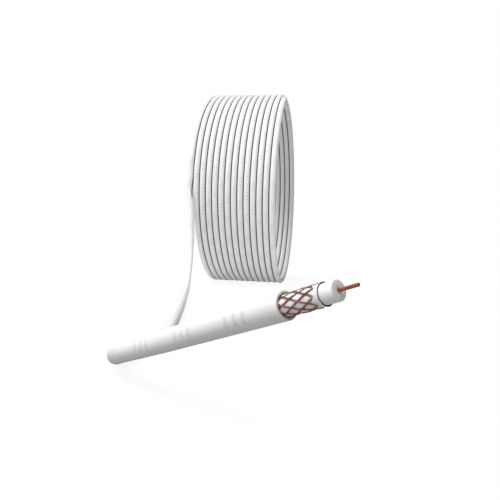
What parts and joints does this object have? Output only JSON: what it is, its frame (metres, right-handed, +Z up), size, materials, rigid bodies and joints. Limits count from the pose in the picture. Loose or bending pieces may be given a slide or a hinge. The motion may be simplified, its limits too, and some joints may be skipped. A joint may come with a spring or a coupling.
{
  "type": "coaxial cable coil",
  "caption": "Coil of white coaxial cable in one layer of side-by-side turns, with one loose end led out and stripped back in steps to its braid, foil, dielectric and copper conductor.",
  "frame": {"origin": "on the floor under the middle of the coil, at the middle of the flat that the coil rests on", "axes": "+X along the coil's axis, to the right as the picture shows it; +Z up; -Y to the side where the loose end lies"},
  "size_m": [0.1695, 0.6422, 0.231],
  "materials": {
    "jacket": "satin white PVC",
    "braid": "woven copper strands",
    "foil": "bright foil",
    "dielectric": "white foamed polyethylene",
    "conductor": "bare copper"
  },
  "bodies": {
    "root": {"coil": "jacket", "lead": "jacket", "braid": "braid", "foil": "foil", "dielectric": "dielectric", "conductor": "conductor"}
  },
  "joints": []
}
